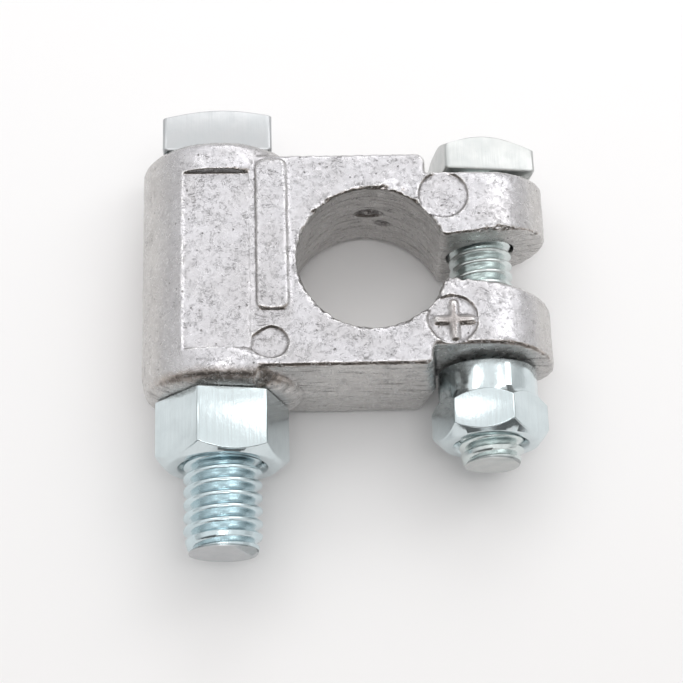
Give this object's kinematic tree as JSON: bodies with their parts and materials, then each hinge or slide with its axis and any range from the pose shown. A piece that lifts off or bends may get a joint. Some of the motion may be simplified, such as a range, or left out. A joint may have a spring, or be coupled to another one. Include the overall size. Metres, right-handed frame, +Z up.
{
  "type": "battery terminal clamp",
  "caption": "Die-cast battery post clamp: a tapered split socket closed by a pinch bolt across its ears, and a barrel with a threaded stud and nut for a cable lug.",
  "frame": {"origin": "centre of the battery post's socket, in the plane of the block's underside", "axes": "+Z up out of the narrow end of the socket, +X from the cable stud to the pinch ears, +Y from the nuts to the bolt heads"},
  "size_m": [0.0503, 0.055, 0.0195],
  "materials": {
    "casting": "die-cast zinc alloy as cast, satin with scratches and flow marks",
    "bolt_plating": "steel with bright zinc plating, forged heads",
    "nut_plating": "steel with bright, faintly blue zinc plating"
  },
  "bodies": {
    "clamp": {"clamp_body": "casting"},
    "cable_stud": {"stud_bolt": "bolt_plating"},
    "cable_nut": {"stud_nut": "nut_plating"},
    "pinch_screw": {"pinch_bolt": "bolt_plating"},
    "pinch_nut": {"pinch_nut": "nut_plating"}
  },
  "joints": [
    {"name": "cable_nut_turn", "type": "hinge", "parent": "clamp", "child": "cable_nut", "pos_m": [-0.01834, -0.0155, 0.00873], "axis": [0, -1, 0], "range_deg": [0, 4172]},
    {"name": "cable_stud_slide", "type": "slide", "parent": "clamp", "child": "cable_stud", "axis": [0, 1, 0], "range_m": [0, 0.0184]},
    {"name": "pinch_nut_turn", "type": "hinge", "parent": "clamp", "child": "pinch_nut", "pos_m": [0.014, -0.0122, 0.00873], "axis": [0, -1, 0], "range_deg": [-163, 2959]},
    {"name": "pinch_screw_slide", "type": "slide", "parent": "clamp", "child": "pinch_screw", "axis": [0, 1, 0], "range_m": [-0.00064, 0.0116]}
  ],
  "couplings": [
    {"joint": "cable_stud_slide", "follows": "cable_nut_turn", "m_per_rad": 0.00025266},
    {"joint": "pinch_screw_slide", "follows": "pinch_nut_turn", "m_per_rad": 0.00022459}
  ]
}
